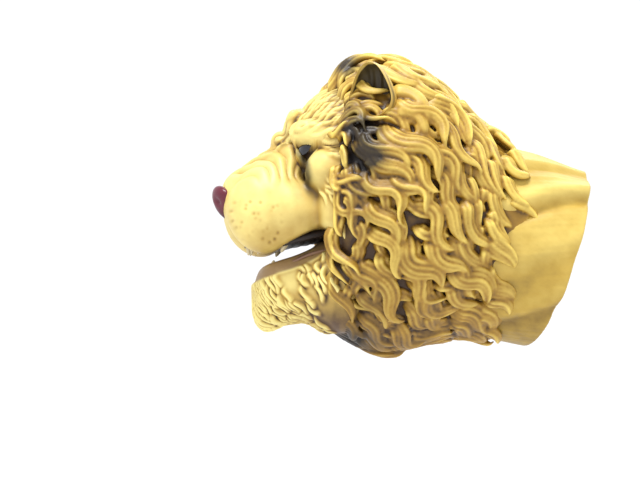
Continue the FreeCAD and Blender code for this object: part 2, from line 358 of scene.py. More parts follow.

# ---- mane ----------------------------------------------------------------------------------
# Rows of thick waved locks, each a bundle of up to five strands, moulded in one with the skin
# under them. They overlap like shingles from the face back to the sleeve, where they end in
# free tips, with painted shade and a brown wash between them and painted highlights on their crests.
MANE_Y = (-112, -105, -96, -82, -66, -50, -34, -20, -4)
MANE_TOP = (77, 86, 92.5, 94.5, 88, 75.5, 61.5, 54, 48)
MANE_BOTTOM = (-25, -31, -35, -40, -37.5, -34.5, -36.0, -38.5, -42)
MANE_HALF = (35, 42.5, 47.5, 51.5, 52, 48, 43, 41.5, 41)
MANE_FRONT = -111
EAR_CENTRE = np.array([42.0, -96.0, 72.5])


def mane_base(y, turn):
    """The skin the locks stand on: an ellipse at each y, turned from straight up round the side."""
    top = spline(y, MANE_Y, MANE_TOP)
    bottom = spline(y, MANE_Y, MANE_BOTTOM)
    half = spline(y, MANE_Y, MANE_HALF)
    up = (top + bottom) / 2 + (top - bottom) / 2 * np.cos(turn)
    return np.stack([half * np.sin(turn), y + 0 * turn, up], -1)


def mane_frame(y, turn):
    """Point, backward and round-the-side directions, and outward normal of the mane's skin."""
    here = mane_base(y, turn)
    back = mane_base(y + 0.5, turn) - mane_base(y - 0.5, turn)
    round_ = (mane_base(y, turn + 0.01) - mane_base(y, turn - 0.01)) / 0.02
    normal = np.cross(back, round_)
    normal /= np.linalg.norm(normal, axis=-1, keepdims=True)
    flip = np.sign((normal * (here - np.stack([0 * y, y, 0 * y + 25.0], -1))).sum(-1))
    return here, back, round_, normal * flip[..., None]


LOCK_STEPS = 34
LOCK_ROUND = 8
MAIN_ROWS = 7
STRAND_MM = 2.1


def flow_angle(y, turn):
    """Degrees the hair falls away from straight back, steepest beside the lower face."""
    deg = np.degrees(turn)
    steep = spline(deg, (0, 20, 45, 70, 95, 120, 145, 165, 180), (2, 12, 30, 42, 50, 60, 54, 30, 10))
    return steep * (1 - 0.42 * smooth(85, 125, deg) * smooth(-100, -50, y))


def lock_paths(y, turn, length, lift, phase, draw):
    """Middle lines of waved locks, with their normals and sideways directions.

    Each path steps along the flow, swinging some 45 degrees either side over a wave of about
    30 mm, and rises off the skin from a sunken root to a free tip.
    """
    count = len(y)
    step = length / (LOCK_STEPS - 1)
    spots = []
    normals = []
    wave = draw.uniform(24, 35, count)
    swing = draw.uniform(34, 54, count)
    for k in range(LOCK_STEPS):
        here, back, round_, normal = mane_frame(y, turn)
        spots.append(here)
        normals.append(normal)
        angle = np.radians(flow_angle(y, turn) + swing * np.cos(2 * math.pi * k * step / wave + phase))
        y = y + np.cos(angle) * step / np.linalg.norm(back, axis=-1)
        turn = turn + np.sin(angle) * step / np.linalg.norm(round_, axis=-1)
    spots = np.stack(spots, 1)
    normals = np.stack(normals, 1)
    t = np.linspace(0, 1, LOCK_STEPS)[None, :]
    height = -3.4 + 4.4 * smooth(0, 0.26, t) + lift[:, None] * smooth(0.12, 0.9, t)
    spots = spots + normals * (height - 1.2 * smooth(0.85, 1.0, t))[..., None]
    ahead = np.gradient(spots, axis=1)
    ahead /= np.linalg.norm(ahead, axis=-1, keepdims=True)
    sideways = np.cross(normals, ahead)
    sideways /= np.linalg.norm(sideways, axis=-1, keepdims=True)
    return spots, normals, sideways


def strand_tubes(paths, width, bare, draw):
    """Round strands laid side by side along each lock: the middle ones ride higher, one edge is
    tilted up like a shingle's, the outer ones stop sooner, and all of them close in on the tip.
    A bare lock has one broad strand."""
    spots, normals, sideways = paths
    t = np.linspace(0, 1, LOCK_STEPS)[None, :]
    ring = np.linspace(0, 2 * math.pi, LOCK_ROUND, endpoint=False)
    tubes = []
    owners = []
    strands = np.clip(np.round(width * 2 / STRAND_MM), 2, 5).astype(int)
    strands = np.where(bare, 1, strands)
    tilt = -0.34 * np.sign(draw.uniform(-0.25, 1, len(width)))
    for total in (1, 2, 3, 4, 5):
        mine = np.nonzero(strands == total)[0]
        for s in range(total):
            share = (s - (total - 1) / 2) / max(total / 2, 1)
            stop = 1 - 0.22 * abs(share) * draw.uniform(0.2, 1.3, len(mine))[:, None]
            reach = np.clip(t * stop, 0, 1) * (LOCK_STEPS - 1)
            low = np.minimum(reach.astype(int), LOCK_STEPS - 2)
            part = (reach - low)[..., None]
            at = np.arange(len(mine))[:, None]
            middle, up, side_ = (
                (1 - part) * field[mine][at, low] + part * field[mine][at, low + 1]
                for field in (spots, normals, sideways)
            )
            swell = smooth(-0.15, 0.28, t) * np.clip(1 - t**3, 0, 1) ** 0.55
            full = width[mine][:, None]
            wander = 0.28 * np.sin(5.0 * t + draw.uniform(0, 6.28, len(mine))[:, None])
            off = full * swell * (share + wander * (total > 1) / total)
            rise = full * swell * (0.42 * (1 - share * share) + tilt[mine][:, None] * share)
            rise = rise + draw.uniform(-0.4, 0.6, len(mine))[:, None]
            radius = np.maximum(full * swell * (0.9 if total == 1 else 1.14 / total + 0.03), 0.12)
            high = radius * (0.6 if total == 1 else 1.2)
            middle = middle + off[..., None] * side_ + rise[..., None] * up
            circle_a = (radius[..., None] * np.cos(ring))[..., None] * side_[:, :, None, :]
            circle_b = (high[..., None] * np.sin(ring))[..., None] * up[:, :, None, :]
            tubes.append(middle[:, :, None, :] + circle_a + circle_b)
            owners.append(mine)
    return np.concatenate(tubes), np.concatenate(owners)


def lock_roots(draw):
    """One side's locks, a row each: start along Y, turn, length, half width, lift, phase of the
    wave, and 1 where the lock is bare.

    Seven main rows are set off from each other like roof tiles, over thinner rows that fill
    between them. None starts in front of the ear, two bare ones back it, and short wisps run
    down from its lower edge.
    """
    rows = []
    for row, (y, count, length, width, last) in enumerate(
        (
            (-109, 20, 36, 3.9, 180),
            (-98, 17, 40, 5.0, 180),
            (-85, 16, 41, 5.8, 180),
            (-72, 15, 38, 5.8, 180),
            (-58, 13, 33, 5.4, 180),
            (-45, 12, 24, 4.8, 180),
            (-34, 6, 21, 4.2, 78),
            (-104, 24, 26, 3.0, 180),
            (-91, 24, 26, 3.2, 180),
            (-78, 24, 26, 3.2, 180),
            (-66, 22, 24, 3.2, 180),
            (-54, 20, 20, 3.0, 180),
            (-43, 16, 14, 2.8, 150),
        )
    ):
        k = (np.arange(count) + 0.5 * (row % 2) + 0.2) / count
        deg = last * k + draw.uniform(-2.6, 2.6, count)
        upper = smooth(110, 30, deg)
        start = np.maximum(y + draw.uniform(-3.4, 3.4, count), MANE_FRONT)
        start = start + 4 * upper * (row in (4, 5, 6))
        long = length * draw.uniform(0.78, 1.12, count) * (0.92 + 0.12 * upper)
        wide = width * draw.uniform(0.68, 1.12, count)
        if row < MAIN_ROWS:
            lift = draw.uniform(-0.6, 3.6, count) + 0.3 * (2 - row)
        else:
            lift = draw.uniform(-2.4, 0.2, count)
        phase = deg * 0.045 + row * 1.7 + draw.normal(0, 0.75, count)
        rows.append(np.stack([start, np.radians(deg), long, wide, lift, phase, 0 * deg], -1))
    rows = np.concatenate(rows)
    root = mane_base(rows[:, 0], rows[:, 1])
    from_hollow = (root - EAR_CENTRE - [-5, -3, 5]) / (16, 14, 14)
    clear = (np.linalg.norm(from_hollow, axis=-1) > 1) | (rows[:, 0] > -88)
    flap = [
        [-89, math.radians(47), 30, 4.6, 2.6, 2.2, 1],
        [-88, math.radians(57), 26, 3.8, 1.6, 1.6, 1],
    ]
    wisps = [
        [-110 + k % 2, math.radians(53 + 5 * k), 18 + k % 3, 2.5, 4.2 - 0.3 * k, 1.3 * k, 0]
        for k in range(9)
    ]
    return np.concatenate([rows[clear], flap, wisps])


def fused(name, shell, cell):
    """Overlapping closed shells turned into one skin on a grid of cells, with its steps eased."""
    rough = piece(name, shell)
    change = rough.modifiers.new("fuse", "REMESH")
    change.mode = "VOXEL"
    change.voxel_size = cell * MM
    mesh = bpy.data.meshes.new_from_object(rough.evaluated_get(bpy.context.evaluated_depsgraph_get()))
    bpy.data.objects.remove(rough)
    mesh.shade_smooth()
    thing = bpy.data.objects.new(name, mesh)
    bpy.context.scene.collection.objects.link(thing)
    mesh.name = name
    points, _ = read_points(thing)
    write_points(thing, eased(thing, points, 2, 0.35))
    return thing


def mane_height(points):
    """How far each point stands above the mane's skin."""
    x, y, z = points.T
    top = spline(y, MANE_Y, MANE_TOP)
    bottom = spline(y, MANE_Y, MANE_BOTTOM)
    half = spline(y, MANE_Y, MANE_HALF)
    tall = (top - bottom) / 2
    k = np.sqrt((x / half) ** 2 + ((z - (top + bottom) / 2) / tall) ** 2)
    return (k - 1) * (half + tall) / 2


def blob(points, centre, radii, mirror=True):
    """1 at a centre, falling off as a bell over the radii; counted on both sides of the face."""
    x = np.abs(points[:, 0]) if mirror else points[:, 0]
    q = (np.stack([x, points[:, 1], points[:, 2]], -1) - centre) / radii
    return np.exp(-(q * q).sum(-1))


def darkening(points, *puffs):
    """Puffs of dark paint added up, each a strength, a centre and its radii."""
    return sum(strength * blob(points, centre, radii) for strength, centre, radii in puffs)


def mane_shade_and_wash(thing, cell):
    """Painted shade in the grooves and painted highlight on the crests, from the height above the
    neighbourhood's average, near and far, the averages taken over the same distance whatever the cell."""
    points, normals = read_points(thing)
    height = mane_height(points)
    rounds = (0.62 / cell) ** 2
    lifted = height - eased(thing, height, int(60 * rounds))
    fine = height - eased(thing, height, max(int(9 * rounds), 2))
    border = smooth(-88, -106, points[:, 1])
    low = smooth(0, -45, points[:, 2])
    # Painted shade on the lower side and in the grooves, and painted light on the crests and on top. Darker
    # beside the face, lighter towards the back.
    shade_and_wash = 0.50 + 0.24 * lifted + 0.55 * fine - 0.3 * smooth(1.6, -0.8, height) - 0.12 * border - 0.22 * low
    shade_and_wash = shade_and_wash + 0.12 * smooth(-60, -20, points[:, 1]) + 0.14 * smooth(60, 90, points[:, 2])
    keep_value(thing, "shade_and_wash", np.clip(shade_and_wash, 0, 1))
    # Puffs of dark paint, mostly beside the face. Two of them darken the mane's lower front and its underside.
    dark_paint_and_shade = darkening(
        points,
        (1.5, (50, -99, 55), (18, 8, 6.5)),
        (1.3, (49, -98, 42), (18, 9, 5.5)),
        (1.2, (10, -102, 91), (26, 7, 8)),
        (0.45, (52, -101, 28), (16, 8, 22)),
        (1.2, (0, -101, -40), (34, 14, 7)),
        (0.5, (40, -96, -26), (20, 10, 14)),
        (0.6, (42, -105, 66), (12, 8, 9)),
    )
    # The dark mix is stronger in the grooves, where it is painted shade as well as paint.
    dark_paint_and_shade = dark_paint_and_shade * (0.4 + 0.6 * smooth(2.8, -1.0, lifted))
    keep_value(thing, "dark_paint_and_shade", np.clip(dark_paint_and_shade, 0, 1))


def thinned(thing, most):
    """Merges triangles where the skin is flattest until no more than most are left."""
    polygons = thing.data.polygons
    corners = np.zeros(len(polygons), np.int32)
    polygons.foreach_get("loop_total", corners)
    triangles = int((corners - 2).sum())
    if triangles <= most:
        return
    change = thing.modifiers.new("thin", "DECIMATE")
    change.ratio = most / triangles
    mesh = bpy.data.meshes.new_from_object(thing.evaluated_get(bpy.context.evaluated_depsgraph_get()))
    thing.modifiers.clear()
    thing.data = mesh
    mesh.name = thing.name
    mesh.shade_smooth()


# Straw-yellow PVC with painted shade and a brown wash in every groove, painted highlights on the crests, and
# near black beside the face.
mane_vinyl = painted_vinyl("mane_shaded_washed_pvc", "41290E", "A67E2A", "F2D468", dark_paint_and_shade="0D0B0E")
quarters = {
    "crown_mane": (-38, 38),
    "left_mane": (38, 135),
    "right_mane": (-135, -38),
    "throat_mane": (135, 225),
}
locks = []
for sign in (1, -1):
    draw = np.random.default_rng(11 if sign > 0 else 23)
    y, turn, length, width, lift, phase, bare = lock_roots(draw).T
    paths = lock_paths(y, turn, length, lift, phase, draw)
    tubes, owner = strand_tubes(paths, width, bare > 0, draw)
    tubes[..., 0] *= sign
    locks.append((np.degrees(turn[owner]) * sign, tubes))
root_deg = np.concatenate([deg for deg, _ in locks])
all_locks = np.concatenate([tubes for _, tubes in locks])
cell = 0.55
MOST_TRIANGLES = 190000
MANE_SKIN = 5.0
for name, (low, high) in quarters.items():
    turns = np.radians(np.linspace(low - 2, high + 2, 90))[None, :]
    rows = np.linspace(0, 1, 60)[:, None]
    ends = -25.5 + 0.26 * mane_base(-20 + 0 * turns, turns)[..., 2]
    rows = MANE_FRONT + rows * (ends - MANE_FRONT)
    skin_out = mane_base(rows, turns)
    skin_in = skin_out - mane_frame(rows, turns + 0 * rows)[3] * MANE_SKIN
    section = np.concatenate([skin_out, skin_in[::-1]])
    arc = np.transpose(section, (1, 0, 2))[None]
    inside = (root_deg >= low) & (root_deg < high)
    if name == "throat_mane":
        inside = np.abs(root_deg) >= low
    shell = together(tube_shells(arc), tube_shells(all_locks[inside]))
    mane = fused(name + "_locks", shell, cell)
    mane_shade_and_wash(mane, cell)
    thinned(mane, MOST_TRIANGLES)
    mane.data.materials.append(mane_vinyl)
    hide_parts(name)
    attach(mane, "head")

# ---- face ----------------------------------------------------------------------------------
# Forehead, brows, cheeks and muzzle are one skin, soft enough for the fingers inside to lift
# the snout. It is smooth vinyl with shallow fur strokes, wrinkles over the nose and rows of
# whisker pits, with painted shade and a brown wash in the hollows.
def ball(points, centre, radii):
    """Distance from an ellipsoid's surface, near enough close to it: negative inside."""
    q = points - centre
    far = np.linalg.norm(q / radii, axis=-1)
    steep = np.linalg.norm(q / np.square(radii), axis=-1)
    return far * (far - 1) / np.maximum(steep, 1e-6)


def rod(points, start, end, first, last):
    """Distance from a rod with round ends, whose radius runs evenly from first to last."""
    along = np.subtract(end, start)
    t = np.clip((points - start) @ along / (along @ along), 0, 1)
    return np.linalg.norm(points - start - t[:, None] * along, axis=-1) - (first + (last - first) * t)


def melt(a, b, soft):
    """The nearer of two surfaces, run together over a soft width."""
    h = np.clip(0.5 + 0.5 * (b - a) / soft, 0, 1)
    return b + (a - b) * h - soft * h * (1 - h)


def carve(a, b, soft):
    """Solid a with solid b taken away, its edge rounded over a soft width."""
    return -melt(-a, b, soft)


def skin_from(field, centre, rows, round_, far):
    """Closed rings where rays from a centre leave the solid, found by halving the ray's span.

    Rays fan out round the -Y axis: the angle from it grows by rows, the turn round it by columns.
    """
    away = np.linspace(0, math.pi, rows + 2)[1:-1, None]
    turn = np.linspace(0, 2 * math.pi, round_, endpoint=False)[None, :]
    rays = np.stack(
        [np.sin(away) * np.sin(turn), -np.cos(away) + 0 * turn, np.sin(away) * np.cos(turn)], -1
    ).reshape(-1, 3)
    low = np.zeros(len(rays))
    high = np.full(len(rays), float(far))
    for _ in range(18):
        middle = (low + high) / 2
        inside = field(centre + rays * middle[:, None]) < 0
        low = np.where(inside, middle, low)
        high = np.where(inside, high, middle)
    return (centre + rays * low[:, None]).reshape(rows, round_, 3)


EYE_CENTRE = np.array([20.0, -119.5, 48.0])
LIP_Y = (-170, -150, -143, -136, -129, -121, -116, -112, -107, -100)
UPPER_LIP = (0.0, 0.0, -0.4, 2.0, 6.4, 10.6, 12.0, 11.0, 6.0, -30.0)
LOWER_LIP = (-12.0, -8.0, -5.0, -2.6, -0.4, 2.8, 5.8, 9.0, 9.8, 9.8)


def face_solid(points):
    """Melted ellipsoids and rods, one per swelling of the face, less the mouth and the two
    three-sided slits for the eyes."""
    p = points.copy()
    p[:, 0] = np.abs(p[:, 0])
    solid = ball(p, (0, -90, 44), (41, 33, 43))
    solid = melt(solid, ball(p, (0, -105, 58), (30, 20, 22)), 8)
    solid = melt(solid, ball(p, (29, -104, 22), (12, 13, 25)), 6)
    solid = melt(solid, ball(p, (24, -102, 4), (13, 9, 22)), 5)
    solid = melt(solid, ball(p, (26.5, -110.5, 39), (11, 13, 11)), 3.5)
    solid = melt(solid, rod(p, (7, -122, 45), (9, -138, 35), 10.0, 10.5), 4)
    bridge = rod(p, (0, -122, 53), (0, -138, 40), 10, 9.5)
    bridge = melt(bridge, rod(p, (0, -138, 40), (0, -150, 32.5), 9.5, 9.5), 3)
    solid = melt(solid, bridge, 6)
    muzzle = melt(ball(p, (11, -138.5, 21.5), (17, 20, 20.5)), ball(p, (0, -147, 25), (15, 13, 13.5)), 5)
    muzzle = melt(muzzle, ball(p, (14.5, -125, 20), (15.5, 15, 14)), 7)
    solid = melt(solid, muzzle, 5)
    solid = melt(solid, rod(p, (19, -121.5, 56.5), (28.5, -108, 53.5), 7.2, 6.4), 1.8)
    solid = melt(solid, rod(p, (6, -124.5, 66), (7.5, -128, 57), 4.6, 3.6), 2.5)
    solid = melt(solid, ball(p, (0, -132, 55.5), (9, 4.5, 4.2)), 2.0)
    solid = melt(solid, ball(p, EYE_CENTRE, (7.3, 7.3, 7.3)), 1.8)
    lip = spline(p[:, 1], LIP_Y, UPPER_LIP)
    solid = carve(solid, (p[:, 2] - lip) * 0.85, 2.4)
    q = p - EYE_CENTRE
    out = q @ np.array([0.88, -0.47, 0.0])
    back = q @ np.array([0.47, 0.88, 0.0])
    up = q[:, 2]
    slit = np.maximum(0.80 * back - 0.60 * up - 3.1, -0.78 * back - 0.62 * up - 3.2)
    slit = np.maximum(slit, 0.97 * up + 0.25 * back - 3.0)
    solid = carve(solid, np.maximum(slit, 2.0 - out), 0.9)
    return solid


def strokes(points, normals, seeds, flow, long, wide, high, draw):
    """Raised waved strokes: a bell across, flat-topped along, bent by a sine of the way along."""
    total = np.zeros(len(points))
    for k in seeds:
        near = np.nonzero(np.abs(points - points[k]).max(1) < long * 1.7)[0]
        q = points[near] - points[k]
        ahead = flow[k] - normals[k] * (flow[k] @ normals[k])
        ahead /= np.linalg.norm(ahead) + 1e-9
        aside = np.cross(normals[k], ahead)
        length = long * draw.uniform(0.7, 1.2)
        u = q @ ahead / length
        bend = 0.16 * length * np.sin(2.6 * u + draw.uniform(-1.5, 1.5))
        v = (q @ aside - bend) / (wide * draw.uniform(0.8, 1.2))
        facing = normals[near] @ normals[k] > 0.1
        total[near] = np.maximum(total[near], high * np.exp(-(u**4) - v * v) * facing)
    return total


def whisker_pits(points):
    """Depth of five straggling rows of pits on each whisker pad, each a shallow bell."""
    depth = np.zeros(len(points))
    x, y, z = np.abs(points[:, 0]), points[:, 1], points[:, 2]
    for row in range(5):
        for k in range(6):
            spot_y = -155.5 + 4.0 * k + 1.4 * math.sin(5 * row + 2 * k)
            spot_z = 24.0 - 3.9 * row - 0.4 * k + 1.2 * math.sin(3 * row + 4.4 * k)
            across = np.hypot(y - spot_y, z - spot_z)
            deep = 0.45 + 0.3 * math.sin(7 * k + row)
            depth += deep * np.exp(-((across / 0.85) ** 2)) * (x > 8)
    return depth


def wrinkles(points):
    """Height of the folds across the top of the muzzle and the faint creases down its sides."""
    x, y, z = np.abs(points[:, 0]), points[:, 1], points[:, 2]
    way = -y * 0.8 + z * 0.45 + 0.75 * x
    folds = np.abs(np.sin(way * 0.8 + 0.5 * np.sin(x * 0.35))) - 0.6
    folds = folds * smooth(34, 41, z + 0.12 * x) * smooth(-157, -152, y) * smooth(-121, -127, y)
    fine = np.sin(way * 1.9 + 1.2 * np.sin(x * 0.5 + z * 0.3)) * smooth(-118, -126, y)
    fine = fine * smooth(24, 32, z) * smooth(22, 14, x)
    sides = np.sin((y + 0.25 * z) * 0.9 + 0.5 * np.sin(z * 0.4)) * smooth(14, 20, x) * smooth(-160, -150, y)
    sides = sides * smooth(-122, -130, y) * smooth(4, 12, z) * smooth(40, 30, z)
    return 1.15 * folds * (1 - 0.5 * smooth(12, 26, x)) + 0.2 * fine + 0.05 * sides


def hollow(thing, points, normals, rounds):
    """How deep each point lies in a groove: its neighbourhood's average less itself, outwards."""
    return ((eased(thing, points, rounds) - points) * normals).sum(-1)


draw = np.random.default_rng(5)
FUR_STROKES = 280
FACE_ROWS = 280
FACE_HEART = np.array([0.0, -117.0, 29.0])
rings = skin_from(face_solid, FACE_HEART, FACE_ROWS, int(FACE_ROWS * 1.25), 90)
face = piece("face_skin_soft", tube_shells(rings[None]))
points, normals = read_points(face)
x, y, z = np.abs(points[:, 0]), points[:, 1], points[:, 2]
furry = smooth(52, 66, z) * smooth(-134, -118, y) * (x > 2)
furry = furry + smooth(-120, -112, y) * smooth(24, 30, x) * (z > 22)
from_eye = np.linalg.norm(np.stack([x, y, z], -1) - EYE_CENTRE, axis=-1)
bare_cheek = blob(points, (28, -113, 38), (16, 11, 15)) >= 0.5
furry = np.clip(furry, 0, 1) * (y < -96) * ~bare_cheek * (from_eye > 10)
seeds = draw.choice(len(points), FUR_STROKES, replace=False, p=furry / furry.sum())
flow = np.stack([np.sign(points[:, 0]) * 0.25, 0.9 + 0 * y, 0.55 - 0.035 * (66 - z)], -1)
fur = strokes(points, normals, seeds, flow, 5.4, 1.05, 1.2, draw)
pits = whisker_pits(points)
points = points + normals * (fur - 0.55 * pits + wrinkles(points))[:, None]
write_points(face, points)
points, normals = read_points(face)
deep = hollow(face, points, normals, 10)
wide_deep = hollow(face, points, normals, 90)
muzzle_zone = smooth(-124, -136, y) * smooth(52, 40, z)
# Painted shade in dips, pits and on the lower muzzle front, and painted highlight on ridges. Lighter on the
# muzzle, darker towards the back.
shade_and_wash = 0.62 - 0.9 * deep - 0.2 * wide_deep + 0.16 * muzzle_zone - 0.08 * pits
shade_and_wash = shade_and_wash - 0.22 * smooth(-116, -105, y) - 0.40 * smooth(22, 2, z) * smooth(-158, -140, y)
keep_value(face, "shade_and_wash", np.clip(shade_and_wash, 0, 1))
tear = np.exp(-(((y + 123.5 - 0.12 * (44 - z)) / 1.9) ** 2)) * smooth(24, 36, z) * smooth(48, 43, z) * (x > 12)
dark_paint_and_shade = 0.8 * tear + darkening(
    points,
    (0.95, EYE_CENTRE + [5, -4, 0], (6.5, 5.0, 3.8)),
    (0.45, (8, -129, 57), (7, 3.5, 7)),
    (0.5, (22, -104, 78), (20, 9, 9)),
    (0.3, (34, -106, 52), (12, 6, 10)),
    (0.35, (26, -118, 30), (8, 5, 10)),
)
# Painted shadow under the upper lip, on faces turned down.
shade_under_lip = smooth(1.2, -0.8, z - spline(y, LIP_Y, UPPER_LIP)) * smooth(-0.1, -0.75, normals[:, 2])
dark_paint_and_shade = dark_paint_and_shade + 0.95 * shade_under_lip * (x < 30) * smooth(-108, -112, y) * smooth(-150, -141, y)
keep_value(face, "dark_paint_and_shade", np.clip(dark_paint_and_shade, 0, 1))
# Paler, smoother straw PVC with painted shade in the hollows and painted highlights on the ridges, dark paint at
# the eyes and a painted shadow under the lip.
face.data.materials.append(
    painted_vinyl("face_shaded_washed_pvc", "5E421C", "C09D4B", "F5DE86", dark_paint_and_shade="1E140E", roughness=0.44)
)
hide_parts("face_skin", "snout_skin")
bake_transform(face)

# ---- jaw and beard -------------------------------------------------------------------------
# The lower lip, chin and throat are one skin that the thumb drops. The chin carries a short
# beard of waved tufts with painted shade in the pits between them, and the lip has a brown painted band.
def jaw_solid(points):
    """Melted ellipsoids for chin, jaw and throat, cut off along the lower lip."""
    p = points.copy()
    p[:, 0] = np.abs(p[:, 0])
    solid = ball(p, (0, -131.5, -15), (16.5, 13, 15.5))
    solid = melt(solid, ball(p, (0, -137.5, -25.5), (9, 6.5, 8.5)), 4)
    solid = melt(solid, ball(p, (9, -132, -9), (9, 9.5, 9)), 4)
    solid = melt(solid, ball(p, (0, -116, -11), (21.5, 22, 19)), 6)
    solid = melt(solid, ball(p, (10, -104, -14), (20, 16, 22)), 8)
    return carve(solid, (spline(p[:, 1], LIP_Y, LOWER_LIP) - p[:, 2]) * 0.9, 1.6)


JAW_HEART = np.array([0.0, -120.0, -16.0])
BEARD_TUFTS = 260
rings = skin_from(jaw_solid, JAW_HEART, int(FACE_ROWS * 0.8), FACE_ROWS, 60)
jaw = piece("jaw_skin_soft", tube_shells(rings[None]))
points, normals = read_points(jaw)
x, y, z = np.abs(points[:, 0]), points[:, 1], points[:, 2]
bearded = smooth(5.4, 7.6, spline(y, LIP_Y, LOWER_LIP) - z) * smooth(-104, -110, y)
chance = bearded * (1 + 1.5 * smooth(-128, -136, y))
seeds = draw.choice(len(points), BEARD_TUFTS, replace=False, p=chance / chance.sum())
flow = np.stack([0.15 * np.sign(points[:, 0]), 0.25 + 0.5 * smooth(-18, -30, z), -1 + 0 * y], -1)
tufts = strokes(points, normals, seeds, flow, 4.4, 1.15, 2.1, draw)
points = points + normals * (tufts * bearded - 0.6 * bearded)[:, None]
write_points(jaw, points)
points, normals = read_points(jaw)
x, y, z = np.abs(points[:, 0]), points[:, 1], points[:, 2]
deep = hollow(jaw, points, normals, 8)
# Painted shade on the chin's down-turned faces, in both stored values.
shade_below = smooth(-0.1, -0.8, normals[:, 2]) * smooth(-136, -126, y)
shade_and_wash = 0.74 - 1.3 * deep - 0.35 * hollow(jaw, points, normals, 40) - 0.4 * shade_below
shade_and_wash = shade_and_wash - 0.4 * smooth(-122, -106, y)
keep_value(jaw, "shade_and_wash", np.clip(shade_and_wash, 0, 1))
band = smooth(6.8, 5.2, spline(y, LIP_Y, LOWER_LIP) - z)
keep_value(jaw, "dark_paint_and_shade", np.clip(0.85 * band + 0.25 * shade_below, 0, 1))
# The same pale PVC, with painted shade in the beard's pits and under the chin, darker towards the throat, and a
# milk-brown band sprayed along the lip.
jaw.data.materials.append(
    painted_vinyl("jaw_shaded_washed_pvc", "4A3012", "C6A451", "F8E690", dark_paint_and_shade="90704C", roughness=0.44)
)
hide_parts("jaw_skin")
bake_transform(jaw)

# ---- mouth lining and tongue -----------------------------------------------------------------
# The roof, the floor and the roll between them are the thin lining that wraps the fingers and
# the thumb, near black above as painted shade and brown-pink below, with a broad tongue moulded on.
def lining(name, y_at, middle_z, edge_z, half_at, thick):
    """Closed pad: rows along Y, each a flat loop whose middle stands off its edges by a cosine."""
    rows = np.linspace(y_at[0], y_at[-1], 70)[:, None]
    loop = np.linspace(0, 2 * math.pi, 80, endpoint=False)[None, :]
    across = np.cos(loop)
    face_side = np.sin(loop)
    half = spline(rows, y_at, half_at)
    middle = spline(rows, y_at, middle_z)
    edge = spline(rows, y_at, edge_z)
    crown = np.cos(across * math.pi / 2) ** 0.8
    ripple = 0.35 * np.sin(rows * 1.5 + 2.0 * across**2) * crown
    z = edge + (middle - edge) * crown + ripple * (face_side * np.sign(thick) < 0)
    z = z + thick * np.maximum(face_side, 0) ** 0.5
    grid = np.stack([half * across, rows + 0 * loop, z], -1)
    pad = piece(name, tube_shells(grid[None]))
    places, out = read_points(pad)
    # Painted shade in the dips of the pad, lighter on its raised parts.
    keep_value(pad, "shade_and_wash", np.clip(0.5 - 0.5 * hollow(pad, places, out, 5), 0, 1))
    keep_value(pad, "dark_paint_and_shade", 0 * places[:, 0])
    return pad


roof = lining(
    "mouth_roof_lining",
    y_at=(-149, -142, -134, -126, -118, -107),
    middle_z=(5.2, 4.4, 4.2, 5.6, 7.0, 9.2),
    edge_z=(5.4, 4.6, 4.4, 6.2, 8.2, 11.0),
    half_at=(8, 15, 18.5, 20.5, 21, 20),
    thick=6.0,
)
# Near-black painted shade on dull PVC, so the open mouth reads as a hole.
roof.data.materials.append(painted_vinyl("roof_painted_shade", "0C0807", "1C120E", "33241B", roughness=0.5))
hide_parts("mouth_roof")
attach(roof, "snout")
floor_pad = lining(
    "mouth_floor_lining",
    y_at=(-139, -134, -128, -122, -115, -107),
    middle_z=(-4.2, -1.6, 0.4, 2.2, 3.6, 4.4),
    edge_z=(-7, -4.4, -2.4, 0.4, 2.6, 4.4),
    half_at=(10, 14, 17, 18.5, 19.5, 20),
    thick=-3.0,
)
# Brown paint over the yellow PVC, a little glossier than the fur.
floor_pad.data.materials.append(painted_vinyl("floor_brown_paint", "3A2417", "80604A", "A88466", roughness=0.42))
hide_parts("mouth_floor")
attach(floor_pad, "jaw")
tongue = lining(
    "tongue_pad",
    y_at=(-135, -131, -125, -119, -112),
    middle_z=(-4.8, -1.6, 1.2, 2.6, 2.8),
    edge_z=(-7.0, -5.0, -2.0, 0.2, 0.8),
    half_at=(4, 8.5, 10.5, 11, 9),
    thick=-2.5,
)
# Dusky pink paint, the glossiest in the mouth.
tongue.data.materials.append(painted_vinyl("tongue_pink_paint", "4A2A22", "86594A", "AE8270", roughness=0.36))
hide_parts("tongue")
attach(tongue, "jaw")
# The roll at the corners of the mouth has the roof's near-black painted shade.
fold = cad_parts["mouth_fold"]
fold.data.materials.clear()
fold.data.materials.append(painted_vinyl("fold_painted_shade", "0C0807", "170F0C", "2A1D17", roughness=0.5))

# ---- teeth ---------------------------------------------------------------------------------
# Blunt moulded teeth in one with the lips: two pairs of curved canines and two short rows of
# incisors.
def teeth(name, roots, tips, radii, bow):
    """Tapered round teeth. The centre line runs root to tip, bowed towards +Y by a sine, and the
    radius falls as a quarter circle near the tip."""
    roots = np.array(roots, float)[:, None, None, :]
    tips = np.array(tips, float)[:, None, None, :]
    t = np.linspace(0, 1, 22)[None, :, None, None]
    ring = np.linspace(0, 2 * math.pi, 20, endpoint=False)[None, None, :, None]
    centre = roots + (tips - roots) * t + np.array([0, bow, 0]) * np.sin(math.pi * t)
    radius = np.array(radii, float)[:, None, None, None] * (1 - 0.55 * t) * np.sqrt(np.clip(1.001 - t**5, 0, 1))
    circle = np.cos(ring) * np.array([1.0, 0, 0]) + np.sin(ring) * np.array([0, 1.0, 0])
    row = piece(name, tube_shells(centre + radius * circle))
    places, _ = read_points(row)
    gum_z = roots[0, 0, 0, 2]
    from_gum = (places[:, 2] - gum_z) / (tips[0, 0, 0, 2] - gum_z)
    keep_value(row, "shade_and_wash", np.clip(0.1 + 1.3 * from_gum, 0, 1))
    keep_value(row, "dark_paint_and_shade", 0 * places[:, 0])
    return row
